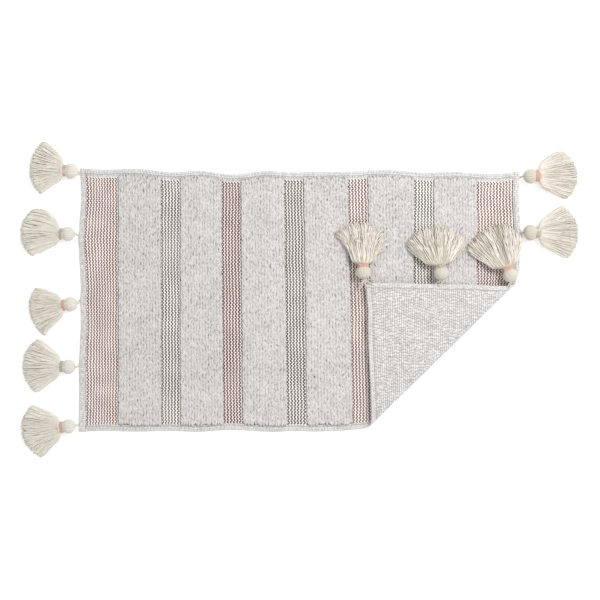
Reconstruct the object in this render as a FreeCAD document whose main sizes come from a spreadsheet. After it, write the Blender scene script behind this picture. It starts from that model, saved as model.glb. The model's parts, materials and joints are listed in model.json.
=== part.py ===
import FreeCAD, Part
import os

import Sketcher
from FreeCAD import Vector

# Bath mat: a cotton sheet with piled bands, flat woven stripes and four hems,
# one corner folded over on top of it, and five tassels sewn to each short end.
# +X runs along the mat, +Z is up, and the origin is the middle of its underside.
# The mat is made flat and whole. A line across the corner then parts it in two:
# what lies beyond the line is turned over by half a turn about the fold.

DIMENSIONS = [
    ("mat_length", 864, "hem edge to hem edge, along X"),
    ("mat_width", 508, "hem edge to hem edge, along Y"),
    ("cloth_thickness", 2, "woven ground cloth"),
    ("pile_height", 7, "loops above the cloth"),
    ("hem_width", 13, "turned and stitched edge"),
    ("hem_thickness", 4.5, "three layers of cloth"),
    ("wide_stripe", 66, "flat stripe at each end"),
    ("narrow_stripe", 37, "flat stripe between piled bands"),
    ("stripe_rise", 1.5, "flat stripe above the cloth"),
    ("seam_inset", 10, "stitch line, in from the edge"),
    ("thread_width", 1.2, "stitch line"),
    ("thread_rise", 0.6, "stitch line above the hem"),
    ("fold_angle", 44.4, "the fold line, from +X, in degrees"),
    ("fold_reach", 273.2, "outside of the fold, from the origin"),
    ("fold_gap", 0.6, "between the two piled faces"),
    ("clearance", 0.3, "between pieces that move past each other"),
    ("cord_radius", 1.75, "cord that a tassel hangs from"),
    ("head_radius", 13.5, "round head of a tassel"),
    ("head_lift", 3.5, "centre of the head above the end of its cord"),
    ("neck_radius", 9, "yarn inside the neck band"),
    ("neck_end", 34, "end of the neck, from the end of the cord"),
    ("band_radius", 11.5, "outside of the neck band"),
    ("band_inset", 0.1, "space between the neck band and the yarn"),
    ("band_length", 6, "neck band, along the tassel"),
    ("skirt_shoulder", 1, "step from the neck out to the skirt"),
    ("skirt_end", 103, "tips of the yarn, from the end of the cord"),
    ("skirt_thickness", 9, "yarn at the tips"),
]

# Each tassel: place along its end of the mat, length of the cord seen from above,
# turn of the cord and turn of the tassel from straight out, and width at the tips.
# Degrees are counted anticlockwise from above.
TASSELS = {
    "tassel_left_1": ("left", 248, 5, -35, -4.6, 92),
    "tassel_left_2": ("left", 128, 5, 0, 0, 84),
    "tassel_left_3": ("left", 1, 4, 20, 8, 84),
    "tassel_left_4": ("left", -127, 4, 0, -3, 88),
    "tassel_left_5": ("left", -243, 4, 0, 6.7, 92),
    "tassel_right_1": ("right", 242, 4, 0, 1, 86),
    "tassel_right_2": ("right", 132, 4, 0, 0, 88),
    "tassel_right_3": ("flap", 14, 5.5, -50, 19.2, 78),
    "tassel_right_4": ("flap", -119, 4, 0, 8.2, 86),
    "tassel_right_5": ("flap", -251, 12, 65, 4, 90),
}
TASSEL_SIZES = ("along", "cord_run", "cord_turn", "turn", "skirt_width")

BANDS_ALONG_THE_MAT = 6
NARROW_STRIPES = 5
STRIPE_COLOURS = ("pink", "green", "pink", "green", "pink", "green", "pink")
# Bands that the fold crosses, and whether any of the band lies on the turned corner.
FOLDED_BANDS = {
    "stripe_5_pink": False,
    "pile_band_5": True,
    "stripe_6_green": True,
    "pile_band_6": True,
    "stripe_7_pink": True,
}
BEYOND = 700  # reach of the helper blocks that part the mat, past its corners

# Sizes that follow from the driving dimensions.
STACK = "(dims.cloth_thickness + dims.pile_height)"
PILE_WIDTH = (
    "((dims.mat_length - 2 * dims.hem_width - 2 * dims.wide_stripe"
    f" - {NARROW_STRIPES} * dims.narrow_stripe) / {BANDS_ALONG_THE_MAT})"
)
INNER_WIDTH = "(dims.mat_width - 2 * dims.hem_width)"
ROLL_RADIUS = f"({STACK} + dims.fold_gap / 2)"
CLOTH_RADIUS = f"({ROLL_RADIUS} - dims.cloth_thickness / 2)"
# Distances from the origin, square to the fold line and measured in the flat mat:
# where the cloth leaves the floor, where it lies flat again, and halfway between.
ROLL_FROM = f"(dims.fold_reach - {ROLL_RADIUS})"
ROLL_TO = f"({ROLL_FROM} + pi * {CLOTH_RADIUS})"
ROLL_MIDDLE = f"({ROLL_FROM} + pi * {CLOTH_RADIUS} / 2)"
COS = "cos(dims.fold_angle)"
SIN = "sin(dims.fold_angle)"

doc = FreeCAD.newDocument("bath_mat")
nodes = []


def make_sheet():
    """The driving dimensions, one row each, with the tassels' own sizes after them."""
    rows = list(DIMENSIONS)
    for name, (_, *sizes) in TASSELS.items():
        rows += [(f"{name}_{key}", size, name) for key, size in zip(TASSEL_SIZES, sizes)]
    sheet = doc.addObject("Spreadsheet::Sheet", "dims")
    for row, (alias, size, note) in enumerate(rows, start=1):
        sheet.set(f"A{row}", alias)
        sheet.set(f"B{row}", str(size))
        sheet.set(f"C{row}", note)
        sheet.setAlias(f"B{row}", alias)


def bind(target, **expressions):
    """Bind properties to the sheet. A double underscore stands for a dot."""
    for path, expression in expressions.items():
        target.setExpression(path.replace("__", "."), expression)


def make_node(target, label):
    target.Label = label
    nodes.append(target)
    return target


def make_body(label):
    return make_node(doc.addObject("PartDesign::Body", label), label)


def make_sketch(body, role, along="0", up="0"):
    """A sketch on one of the body's own origin planes, moved along its normal, and up."""
    sketch = body.newObject("Sketcher::SketchObject", f"{body.Label}_sketch")
    plane = next(f for f in body.Origin.OriginFeatures if f.Role == role)
    sketch.AttachmentSupport = [(plane, "")]
    sketch.MapMode = "FlatFace"
    bind(sketch, AttachmentOffset__Base__z=along, AttachmentOffset__Base__y=up)
    return sketch


def constrain(sketch, name, expression, *arguments):
    """A named constraint whose size comes from the sheet."""
    index = sketch.addConstraint(Sketcher.Constraint(*arguments))
    sketch.renameConstraint(index, name)
    bind(sketch, **{f"Constraints__{name}": expression})


def draw_rectangle(sketch, name, width, depth, inset=None):
    """A rectangle from the sketch's origin, or from a corner inset both ways from it."""
    start = 5 if inset else 0
    corners = [Vector(start, start), Vector(60, start), Vector(60, 40), Vector(start, 40)]
    sides = [
        sketch.addGeometry(Part.LineSegment(corners[i], corners[(i + 1) % 4]))
        for i in range(4)
    ]
    for i, side in enumerate(sides):
        sketch.addConstraint(
            Sketcher.Constraint("Coincident", side, 2, sides[(i + 1) % 4], 1)
        )
        direction = "Vertical" if i % 2 else "Horizontal"
        sketch.addConstraint(Sketcher.Constraint(direction, side))
    bottom, right = sides[:2]
    constrain(sketch, f"{name}_width", width, "DistanceX", bottom, 1, bottom, 2, 60.0)
    constrain(sketch, f"{name}_depth", depth, "DistanceY", right, 1, right, 2, 40.0)
    if inset:
        constrain(sketch, f"{name}_in_x", inset, "DistanceX", -1, 1, bottom, 1, 5.0)
        constrain(sketch, f"{name}_in_y", inset, "DistanceY", -1, 1, bottom, 1, 5.0)
    else:
        sketch.addConstraint(Sketcher.Constraint("Coincident", bottom, 1, -1, 1))


def make_pad(body, sketch, length):
    pad = body.newObject("PartDesign::Pad", f"{body.Label}_pad")
    pad.Profile = sketch
    bind(pad, Length=length)
    body.Tip = pad


def make_strip(label, start, width, inset, depth, base, rise):
    """A flat strip of the mat. start and inset count from its left and lower edges."""
    strip = make_body(label)
    sketch = make_sketch(strip, "XY_Plane")
    draw_rectangle(sketch, "strip", width, depth)
    make_pad(strip, sketch, rise)
    bind(
        strip,
        Placement__Base__x=f"{start} - dims.mat_length / 2",
        Placement__Base__y=f"{inset} - dims.mat_width / 2",
        Placement__Base__z=base,
    )
    return strip


def make_hems():
    """Hems of the short ends run the full width, and the long ones lie between them."""
    full = ("0", "dims.mat_width", "0", "dims.hem_thickness")
    between = "dims.mat_length - 2 * dims.hem_width"
    far_end = "dims.mat_length - dims.hem_width"
    far_side = "dims.mat_width - dims.hem_width"
    thick = ("dims.hem_width", "0", "dims.hem_thickness")
    return {
        "hem_left": make_strip("hem_left", "0", "dims.hem_width", *full),
        "hem_right": make_strip("hem_right", far_end, "dims.hem_width", *full),
        "hem_bottom": make_strip("hem_bottom", "dims.hem_width", between, "0", *thick),
        "hem_top": make_strip("hem_top", "dims.hem_width", between, far_side, *thick),
    }


def make_bands():
    """Stripes and piled bands by turns, from the left hem to the right one."""
    bands = {}
    start = "dims.hem_width"
    for number, colour in enumerate(STRIPE_COLOURS, start=1):
        at_an_end = number in (1, len(STRIPE_COLOURS))
        width = "dims.wide_stripe" if at_an_end else "dims.narrow_stripe"
        rows = [(f"stripe_{number}_{colour}", width, "dims.stripe_rise")]
        if number <= BANDS_ALONG_THE_MAT:
            rows.append((f"pile_band_{number}", PILE_WIDTH, "dims.pile_height"))
        for label, width, rise in rows:
            bands[label] = make_strip(
                label, start, width, "dims.hem_width", INNER_WIDTH,
                "dims.cloth_thickness", rise,
            )
            start = f"{start} + {width}"
    return bands


def make_cloth():
    inner_length = "dims.mat_length - 2 * dims.hem_width"
    return make_strip(
        "ground_cloth", "dims.hem_width", inner_length, "dims.hem_width", INNER_WIDTH,
        "0", "dims.cloth_thickness",
    )


def make_seam():
    """One line of stitching round the mat, on top of the hems."""
    seam = make_body("seam_thread")
    sketch = make_sketch(seam, "XY_Plane")
    length = "dims.mat_length - 2 * dims.seam_inset"
    width = "dims.mat_width - 2 * dims.seam_inset"
    draw_rectangle(sketch, "outer", length, width)
    inner = (f"{length} - 2 * dims.thread_width", f"{width} - 2 * dims.thread_width")
    draw_rectangle(sketch, "inner", *inner, inset="dims.thread_width")
    make_pad(seam, sketch, "dims.thread_rise")
    bind(
        seam,
        Placement__Base__x="dims.seam_inset - dims.mat_length / 2",
        Placement__Base__y="dims.seam_inset - dims.mat_width / 2",
        Placement__Base__z="dims.hem_thickness",
    )
    return seam


def make_half(name, distance, side):
    """A block over one side of a line that is parallel to the fold. side is 1 or -1."""
    block = doc.addObject("Part::Box", name)
    block.Length = block.Width = 2 * BEYOND
    block.Height = BEYOND
    block.Placement.Base.z = -BEYOND / 2
    away = f"({distance})" if side < 0 else f"({distance} + {2 * BEYOND})"
    bind(
        block,
        Placement__Base__x=f"{away} * {SIN} - {BEYOND} * {COS}",
        Placement__Base__y=f"-{away} * {COS} - {BEYOND} * {SIN}",
        Placement__Rotation__Angle="dims.fold_angle",
    )
    return block


def make_common(label, piece, block):
    common = make_node(doc.addObject("Part::Common", label), label)
    common.Base = piece
    common.Tool = block
    return common


def part_at_fold(whole, flap_labels):
    """Cut pieces at the fold: what stays flat keeps the label, the rest is turned over."""
    flat_side = make_half("flat_side", ROLL_FROM, -1)
    flap_side = make_half("flap_side", ROLL_TO, 1)
    for label, flap_label in flap_labels.items():
        piece = whole[label]
        nodes.remove(piece)
        piece.Label = f"{label}_whole"
        make_common(label, piece, flat_side)
        if not flap_label:
            continue
        flap = make_common(flap_label, piece, flap_side)
        centre = f"vector(2 * {ROLL_MIDDLE} * {SIN}; -2 * {ROLL_MIDDLE} * {COS}; 2 * {ROLL_RADIUS})"
        half_turn = f"rotation(vector({COS}; {SIN}; 0); 180)"
        bind(flap, Placement=f"placement({centre}; {half_turn})")


def make_tube(name, outer, inner):
    """A tube along the fold line, in the fold's own frame."""
    cylinders = []
    for part, radius in (("outside", outer), ("inside", inner)):
        cylinder = doc.addObject("Part::Cylinder", f"{name}_{part}")
        cylinder.Height = 2 * BEYOND
        cylinder.Placement = FreeCAD.Placement(
            Vector(-BEYOND, 0, 0), FreeCAD.Rotation(Vector(0, 1, 0), 90)
        )
        bind(cylinder, Radius=radius)
        cylinders.append(cylinder)
    tube = doc.addObject("Part::Cut", f"{name}_tube")
    tube.Base, tube.Tool = cylinders
    return tube


def make_roll():
    """Cloth and crushed pile that go round the fold, up to the mat's two edges.

    In the fold's own frame X runs along the fold line and the roll is at -Y. The
    edges cross the roll as a helix would, and two slanted planes stand for them.
    """
    ends = doc.addObject("Part::Wedge", "roll_ends")
    ends.Placement.Rotation = FreeCAD.Rotation(Vector(1, 0, 0), 90)
    ends.Zmin = ends.Z2min = 0
    low_side = "(-dims.mat_width / 2 + {at} * " + COS + ") / " + SIN
    right_side = "(dims.mat_length / 2 - {at} * " + SIN + ") / " + COS
    bind(
        ends,
        Ymin=f"-{ROLL_RADIUS}",
        Ymax=ROLL_RADIUS,
        Zmax=f"2 * {ROLL_RADIUS}",
        Z2max=f"2 * {ROLL_RADIUS}",
        Xmin=low_side.format(at=ROLL_FROM),
        Xmax=right_side.format(at=ROLL_FROM),
        X2min=low_side.format(at=ROLL_TO),
        X2max=right_side.format(at=ROLL_TO),
    )
    cloth_inside = f"{ROLL_RADIUS} - dims.cloth_thickness"
    layers = {
        "fold_cloth": (ROLL_RADIUS, cloth_inside),
        "fold_pile": (cloth_inside, "dims.pile_height / 3"),
    }
    for label, (outer, inner) in layers.items():
        layer = make_common(label, make_tube(label, outer, inner), ends)
        middle = f"vector({ROLL_FROM} * {SIN}; -{ROLL_FROM} * {COS}; {ROLL_RADIUS})"
        bind(
            layer,
            Placement=f"placement({middle}; rotation(vector(0; 0; 1); dims.fold_angle))",
        )


def stitch_of(name, edge):
    """Where a tassel's cord leaves the hem, which way is straight out, and the height
    of the surface that the tassel lies on, as expressions."""
    off_edge = "(dims.mat_length / 2 + dims.cord_radius + dims.clearance)"
    along = f"dims.{name}_along"
    hem_middle = "dims.hem_thickness / 2"
    if edge == "left":
        return f"-{off_edge}", along, hem_middle, "180", "0"
    if edge == "right":
        return off_edge, along, hem_middle, "0", "0"
    past_fold = f"({off_edge} * {SIN} - {along} * {COS} - {ROLL_MIDDLE})"
    return (
        f"{off_edge} - 2 * {past_fold} * {SIN}",
        f"{along} + 2 * {past_fold} * {COS}",
        f"2 * {ROLL_RADIUS} - {hem_middle}",
        "2 * dims.fold_angle",
        f"({STACK} + dims.clearance)",
    )


def place(body, point, yaw, pitch="0"):
    """Put a body's origin at a point, with its X turned to yaw and raised by pitch."""
    bind(
        body,
        Placement=f"placement(vector({'; '.join(point)}); rotation({yaw}; -({pitch}); 0))",
    )


def draw_cord(sketch, length):
    """Half the outline of a round-ended cord that starts at the sketch's origin."""
    radius = 1.75
    near = sketch.addGeometry(
        Part.ArcOfCircle(
            Part.Circle(Vector(), Vector(0, 0, 1), radius), 1.5708, 3.14159
        )
    )
    far = sketch.addGeometry(
        Part.ArcOfCircle(
            Part.Circle(Vector(8, 0), Vector(0, 0, 1), radius), 0, 1.5708
        )
    )
    top = sketch.addGeometry(Part.LineSegment(Vector(0, radius), Vector(8, radius)))
    axis = sketch.addGeometry(Part.LineSegment(Vector(-radius, 0), Vector(9.75, 0)))
    for arguments in (
        ("Coincident", near, 3, -1, 1),
        ("Coincident", near, 1, top, 1),
        ("Coincident", top, 2, far, 2),
        ("Coincident", near, 2, axis, 1),
        ("Coincident", far, 1, axis, 2),
        ("PointOnObject", far, 3, -1),
        ("PointOnObject", axis, 1, -1),
        ("PointOnObject", axis, 2, -1),
        ("Horizontal", top),
        ("Vertical", near, 1, near, 3),
        ("Vertical", far, 2, far, 3),
    ):
        sketch.addConstraint(Sketcher.Constraint(*arguments))
    constrain(sketch, "radius", "dims.cord_radius", "Radius", near, radius)
    constrain(sketch, "length", length, "DistanceX", near, 3, far, 3, 8.0)


def make_revolution(body, sketch):
    turned = body.newObject("PartDesign::Revolution", f"{body.Label}_turned")
    turned.Profile = sketch
    turned.ReferenceAxis = (sketch, ["H_Axis"])
    turned.Angle = 360
    body.Tip = turned


def make_cord(name, stitch, end, yaw):
    """The short cord between the hem and the head of a tassel."""
    run = f"dims.{name}_cord_run"
    rise = f"({end[2]} - ({stitch[2]}))"
    cord = make_body(f"{name}_cord")
    sketch = make_sketch(cord, "XZ_Plane")
    draw_cord(sketch, f"sqrt({run} ^ 2 + {rise} ^ 2)")
    make_revolution(cord, sketch)
    place(cord, stitch, yaw, f"atan2({rise}; {run})")


def draw_head(sketch, middle):
    """Half the outline of the round head and of the neck that follows it."""
    head = sketch.addGeometry(
        Part.ArcOfCircle(
            Part.Circle(Vector(15, 0), Vector(0, 0, 1), 13.5), 0.7297, 3.14159
        )
    )
    corners = [Vector(25, 9), Vector(34, 9), Vector(34, 0), Vector(1.5, 0)]
    neck, end, axis = (
        sketch.addGeometry(Part.LineSegment(corners[i], corners[i + 1]))
        for i in range(3)
    )
    for arguments in (
        ("Coincident", head, 1, neck, 1),
        ("Coincident", neck, 2, end, 1),
        ("Coincident", end, 2, axis, 1),
        ("Coincident", axis, 2, head, 2),
        ("Horizontal", neck),
        ("Vertical", end),
        ("PointOnObject", axis, 1, -1),
        ("PointOnObject", axis, 2, -1),
        ("PointOnObject", head, 3, -1),
    ):
        sketch.addConstraint(Sketcher.Constraint(*arguments))
    constrain(sketch, "radius", "dims.head_radius", "Radius", head, 13.5)
    constrain(sketch, "middle", middle, "DistanceX", -1, 1, head, 3, 15.0)
    constrain(sketch, "neck", "dims.neck_radius", "DistanceY", end, 2, end, 1, 9.0)
    constrain(sketch, "neck_end", "dims.neck_end", "DistanceX", -1, 1, end, 2, 34.0)


def draw_slot(sketch, radius, half_straight):
    """A level section with two straight sides and two round ends."""
    ends = []
    for side, start in ((1, -1.5708), (-1, 1.5708)):
        circle = Part.Circle(Vector(side * 10, 0), Vector(0, 0, 1), 5)
        ends.append(
            sketch.addGeometry(Part.ArcOfCircle(circle, start, start + 3.14159))
        )
    right, left = ends
    top = sketch.addGeometry(Part.LineSegment(Vector(10, 5), Vector(-10, 5)))
    bottom = sketch.addGeometry(Part.LineSegment(Vector(-10, -5), Vector(10, -5)))
    for arguments in (
        ("Coincident", right, 2, top, 1),
        ("Coincident", top, 2, left, 1),
        ("Coincident", left, 2, bottom, 1),
        ("Coincident", bottom, 2, right, 1),
        ("PointOnObject", right, 3, -1),
        ("PointOnObject", left, 3, -1),
        ("Vertical", right, 1, right, 3),
        ("Vertical", right, 2, right, 3),
        ("Vertical", left, 1, left, 3),
        ("Vertical", left, 2, left, 3),
        ("Horizontal", top),
    ):
        sketch.addConstraint(Sketcher.Constraint(*arguments))
    constrain(sketch, "radius", radius, "Radius", right, 5.0)
    constrain(sketch, "right", half_straight, "DistanceX", -1, 1, right, 3, 10.0)
    constrain(sketch, "left", half_straight, "DistanceX", left, 3, -1, 1, 10.0)


def make_yarn(name, end, yaw):
    """The tassel's one bundle of yarn: a round head, a neck and a skirt that spreads
    to a flat fan, whose underside comes down to the surface the tassel lies on."""
    reach = "(dims.head_radius + dims.cord_radius + dims.clearance)"
    middle = f"sqrt({reach} ^ 2 - dims.head_lift ^ 2)"
    yarn = make_body(f"{name}_yarn")
    head = make_sketch(yarn, "XZ_Plane", up="dims.head_lift")
    draw_head(head, middle)
    make_revolution(yarn, head)
    neck = make_sketch(yarn, "YZ_Plane", "dims.neck_end - 0.5", "dims.head_lift")
    draw_slot(neck, "dims.neck_radius + dims.skirt_shoulder", "1")
    tips_height = "dims.head_lift - dims.head_radius + dims.skirt_thickness / 2"
    tips = make_sketch(yarn, "YZ_Plane", "dims.skirt_end", tips_height)
    half_straight = f"(dims.{name}_skirt_width - dims.skirt_thickness) / 2"
    draw_slot(tips, "dims.skirt_thickness / 2", half_straight)
    skirt = yarn.newObject("PartDesign::AdditiveLoft", f"{name}_skirt")
    skirt.Profile = neck
    skirt.Sections = [tips]
    yarn.Tip = skirt
    place(yarn, end, yaw)
    return middle


def make_neck_band(name, end, yaw, middle):
    """The coloured binding round the tassel's neck."""
    band = make_body(f"{name}_band")
    start = f"{middle} + dims.head_radius - 2"
    sketch = make_sketch(band, "YZ_Plane", start, "dims.head_lift")
    radii = ("dims.band_radius", "dims.neck_radius + dims.band_inset")
    for key, radius in zip(("outer", "inner"), radii):
        circle = sketch.addGeometry(Part.Circle(Vector(), Vector(0, 0, 1), 9.5))
        sketch.addConstraint(Sketcher.Constraint("Coincident", circle, 3, -1, 1))
        constrain(sketch, f"{key}_radius", radius, "Radius", circle, 9.5)
    make_pad(band, sketch, "dims.band_length")
    place(band, end, yaw)


def make_tassel(name, edge):
    x, y, z, outward, floor = stitch_of(name, edge)
    run = f"dims.{name}_cord_run"
    cord_yaw = f"({outward} + dims.{name}_cord_turn)"
    yaw = f"{outward} + dims.{name}_turn"
    end = (
        f"{x} + {run} * cos({cord_yaw})",
        f"{y} + {run} * sin({cord_yaw})",
        f"({floor} + dims.head_radius - dims.head_lift)",
    )
    make_cord(name, (x, y, z), end, cord_yaw)
    middle = make_yarn(name, end, yaw)
    make_neck_band(name, end, yaw, middle)


def check_document():
    """Stop on any object that failed, and on any sub-part with no valid solid."""
    failed = [o.Label for o in doc.Objects if {"Invalid", "Error"} & set(o.State)]
    for node in nodes:
        shape = node.Shape
        if shape.isNull() or not shape.isValid() or not shape.Solids:
            failed.append(node.Label)
    if failed:
        raise RuntimeError(f"these did not build: {sorted(set(failed))}")


make_sheet()
whole = {**make_hems(), "ground_cloth": make_cloth(), **make_bands()}
whole["seam_thread"] = make_seam()
flap_labels = {
    "ground_cloth": "flap_cloth",
    "hem_right": "flap_hem_end",
    "hem_bottom": "flap_hem_side",
    "seam_thread": "flap_seam_thread",
}
for band, on_the_flap in FOLDED_BANDS.items():
    flap_labels[band] = f"flap_{band}" if on_the_flap else None
part_at_fold(whole, flap_labels)
make_roll()
for tassel, (edge, *_) in TASSELS.items():
    make_tassel(tassel, edge)

doc.recompute()
check_document()
os.makedirs("parts", exist_ok=True)
for node in nodes:
    node.Shape.exportStep(f"parts/{node.Label}.step")
print(f"{len(nodes)} sub-parts written")
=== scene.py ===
import json
import math

import bmesh
import bpy
import mathutils
import numpy as np
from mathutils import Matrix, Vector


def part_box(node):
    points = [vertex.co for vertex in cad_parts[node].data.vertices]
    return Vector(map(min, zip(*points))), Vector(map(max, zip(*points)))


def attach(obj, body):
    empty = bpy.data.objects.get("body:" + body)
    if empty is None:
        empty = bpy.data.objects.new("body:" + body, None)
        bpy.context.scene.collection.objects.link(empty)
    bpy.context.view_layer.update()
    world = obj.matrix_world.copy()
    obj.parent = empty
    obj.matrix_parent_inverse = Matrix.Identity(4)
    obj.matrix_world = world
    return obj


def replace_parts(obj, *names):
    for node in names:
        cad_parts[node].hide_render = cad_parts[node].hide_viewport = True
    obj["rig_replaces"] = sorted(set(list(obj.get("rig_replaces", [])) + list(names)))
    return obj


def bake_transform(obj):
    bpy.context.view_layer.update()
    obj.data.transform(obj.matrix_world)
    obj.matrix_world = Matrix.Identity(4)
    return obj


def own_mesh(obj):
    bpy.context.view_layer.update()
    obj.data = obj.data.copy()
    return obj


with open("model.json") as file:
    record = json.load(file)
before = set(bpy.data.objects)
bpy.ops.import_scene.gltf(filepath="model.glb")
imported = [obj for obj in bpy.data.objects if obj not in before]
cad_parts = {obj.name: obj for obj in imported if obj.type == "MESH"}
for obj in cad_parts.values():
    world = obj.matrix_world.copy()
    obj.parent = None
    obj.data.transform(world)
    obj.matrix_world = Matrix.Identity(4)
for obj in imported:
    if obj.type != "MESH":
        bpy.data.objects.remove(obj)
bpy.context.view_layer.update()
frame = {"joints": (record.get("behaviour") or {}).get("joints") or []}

MM = 0.001
TURN = 2 * math.pi

# ---------- the frame's own measures, in mm


def span(node):
    """The lowest and highest corner of a CAD node, in mm."""
    low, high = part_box(node)
    return np.array(low) / MM, np.array(high) / MM


def joint_of(name):
    """The frame's row for one joint."""
    return next(j for j in frame["joints"] if j["name"] == name)


LOWER_PIVOT = np.array(joint_of("fold_lower")["pos_m"]) / MM
UPPER_PIVOT = np.array(joint_of("fold_upper")["pos_m"]) / MM
ALONG_FOLD = -np.array(joint_of("fold_lower")["axis"][:2])
ACROSS_FOLD = np.array([ALONG_FOLD[1], -ALONG_FOLD[0]])
ROLL_HEIGHT = (LOWER_PIVOT[2] + UPPER_PIVOT[2]) / 2
QUARTER_ROLL = ROLL_HEIGHT - LOWER_PIVOT[2]
CLOTH_RADIUS = QUARTER_ROLL * 4 / math.pi
ROLL_FROM = LOWER_PIVOT[:2] @ ACROSS_FOLD - QUARTER_ROLL
ROLL_MIDDLE = ROLL_FROM + 2 * QUARTER_ROLL
ROLL_TO = ROLL_FROM + 4 * QUARTER_ROLL
CRUSHED_PILE = 0.64  # share of the pile's height left inside the roll
CRUSH_EASE = 8.0  # the pile is crushed gradually, over this far beside the roll
BEND_MARGIN = 9.0  # pieces further than this from the roll don't bend at all

HALF_X, HALF_Y = span("hem_right")[1][0], span("hem_top")[1][1]
HEM = HALF_Y - span("hem_top")[0][1]
INNER_Y = HALF_Y - HEM
CLOTH_TOP = span("ground_cloth")[1][2]
PILE_TOP = span("pile_band_1")[1][2]
STRIPE_TOP = span("stripe_1_pink")[1][2]
HEM_TOP = span("hem_top")[1][2]

# How the hand-woven mat leaves a true rectangle: (place along the edge, offset), in mm.
TOP_EDGE = [(-432, 6), (-386, 4), (-320, 5.5), (-240, -1.5), (-196, 2), (-122, -5.5), (-52, 1.5), (0, -1.5),
            (60, 0.2), (118, 0.5), (160, 4), (256, -2), (304, 0), (380, -5), (432, -0.5)]
BOTTOM_EDGE = [(-432, -3), (-386, -1.5), (-320, -3), (-250, -1.5), (-200, -3.5), (-130, 0.5), (-44, -3.5),
               (-4, -1.5), (30, -3), (76, -1.5), (112, 1.5), (140, 4), (361, -7), (432, -12)]
LEFT_EDGE = [(-254, -1.2), (-190, -0.5), (-127, -1), (-90, 1), (-50, 3), (-24, 2.6), (0, 1.2), (24, 3),
             (60, 1.5), (90, -0.5), (120, -2.5), (145, -0.5), (200, 3), (254, 1.5)]
RIGHT_EDGE = [(-254, -6.4), (0, -6.5), (36, -4), (60, 1.5), (90, 1.5), (122, 6.5), (150, 2), (200, -1),
              (254, 0.5)]
STRIPE_SHIFT_TOP = [(-432, 0), (-353, -1), (-248, -3.5), (-124, -8.6), (0, -9.2), (123, -8), (248, -1.5),
                    (353, -2), (432, 0)]
STRIPE_SHIFT_BOTTOM = [(-432, 0), (-420, 4.5), (-353, -1), (-248, -2.6), (-124, -4.7), (0, -2.5), (123, 3),
                       (248, -1.5), (353, -2), (432, 0)]
EDGE_REACH = 90.0  # how far into the mat an edge's offset is felt
WEAVING_WANDER = 0.7  # how far the whole weave drifts sideways


# ---------- points, and numbers that repeat from run to run


def cell_noise(i, j, seed):
    """A number from 0 to 1 for each whole-number cell, the same in every run."""
    h = ((i * 73856093) ^ (j * 19349663) ^ (seed * 83492791)) & 0x7FFFFFFF
    h = ((h ^ (h >> 15)) * 1274126177) & 0x7FFFFFFF
    h = ((h ^ (h >> 13)) * 1103515245) & 0x7FFFFFFF
    return (h ^ (h >> 16)) / 0x7FFFFFFF


def whole(numbers):
    """Numbers rounded down to whole ones."""
    return np.floor(numbers).astype(np.int64)


def noise(x, y, cell, seed):
    """Noise from -1 to 1 that changes smoothly over about one cell."""
    u, v = x / cell, y / cell
    i, j = whole(u), whole(v)
    a, b = ease(u - i), ease(v - j)
    near = cell_noise(i, j, seed) * (1 - a) + cell_noise(i + 1, j, seed) * a
    far = cell_noise(i, j + 1, seed) * (1 - a) + cell_noise(i + 1, j + 1, seed) * a
    return 2 * (near * (1 - b) + far * b) - 1


def xyz(x, y, z):
    """Three arrays of numbers as one array of points."""
    return np.stack([x, y, z], axis=-1)


def ease(t):
    """From 0 to 1 as t does, starting and stopping smoothly."""
    t = np.clip(t, 0, 1)
    return t * t * (3 - 2 * t)


def eased(table, at):
    """The table's offset at each place, turning smoothly at its rows."""
    places, offsets = (np.array(c, float) for c in zip(*table))
    k = np.clip(np.searchsorted(places, at) - 1, 0, len(places) - 2)
    t = ease((at - places[k]) / (places[k + 1] - places[k]))
    return offsets[k] + (offsets[k + 1] - offsets[k]) * t


def letters(name):
    """A whole number made from a name, for seeds."""
    return sum(ord(c) for c in name)


def generator(name):
    """A piece's own random generator, so that its draws never change another's."""
    return np.random.default_rng(sum(ord(c) * (k + 7) for k, c in enumerate(name)))


# ---------- from the flat mat to the one on the floor


def warped(points):
    """Flat points moved by the weaving's unevenness."""
    x, y, z = points.T
    near_left = ease(1 - (x + HALF_X) / EDGE_REACH)
    near_right = ease(1 - (HALF_X - x) / EDGE_REACH)
    near_top = ease(1 - (HALF_Y - y) / EDGE_REACH)
    near_bottom = ease(1 - (y + HALF_Y) / EDGE_REACH)
    up = 0.5 + 0.5 * y / HALF_Y
    dx = eased(STRIPE_SHIFT_TOP, x) * up + eased(STRIPE_SHIFT_BOTTOM, x) * (1 - up)
    dx += eased(LEFT_EDGE, y) * near_left + eased(RIGHT_EDGE, y) * near_right
    dx += WEAVING_WANDER * noise(x, y, 70, 3)
    dy = eased(TOP_EDGE, x) * near_top + eased(BOTTOM_EDGE, x) * near_bottom
    return xyz(x + dx, y + dy, z)


def folded(points):
    """Warped points carried round the turned-over corner."""
    n, t = points[:, :2] @ ACROSS_FOLD, points[:, :2] @ ALONG_FOLD
    z = points[:, 2]
    in_roll = ease((n - ROLL_FROM) / CRUSH_EASE + 1) * ease((ROLL_TO - n) / CRUSH_EASE + 1)
    z = z - (1 - CRUSHED_PILE) * np.maximum(z - CLOTH_TOP, 0) * in_roll
    angle = np.clip((n - ROLL_FROM) / CLOTH_RADIUS, 0, math.pi)
    n = np.where(n < ROLL_FROM, n, np.where(n > ROLL_TO, 2 * ROLL_MIDDLE - n, ROLL_FROM))
    out = ROLL_HEIGHT - z
    n = n + out * np.sin(angle)
    flat = n[:, None] * ACROSS_FOLD + t[:, None] * ALONG_FOLD
    return np.column_stack([flat, ROLL_HEIGHT - out * np.cos(angle)])


# ---------- meshes


def link(thing):
    """Puts an object into the scene."""
    bpy.context.scene.collection.objects.link(thing)
    return thing


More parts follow.
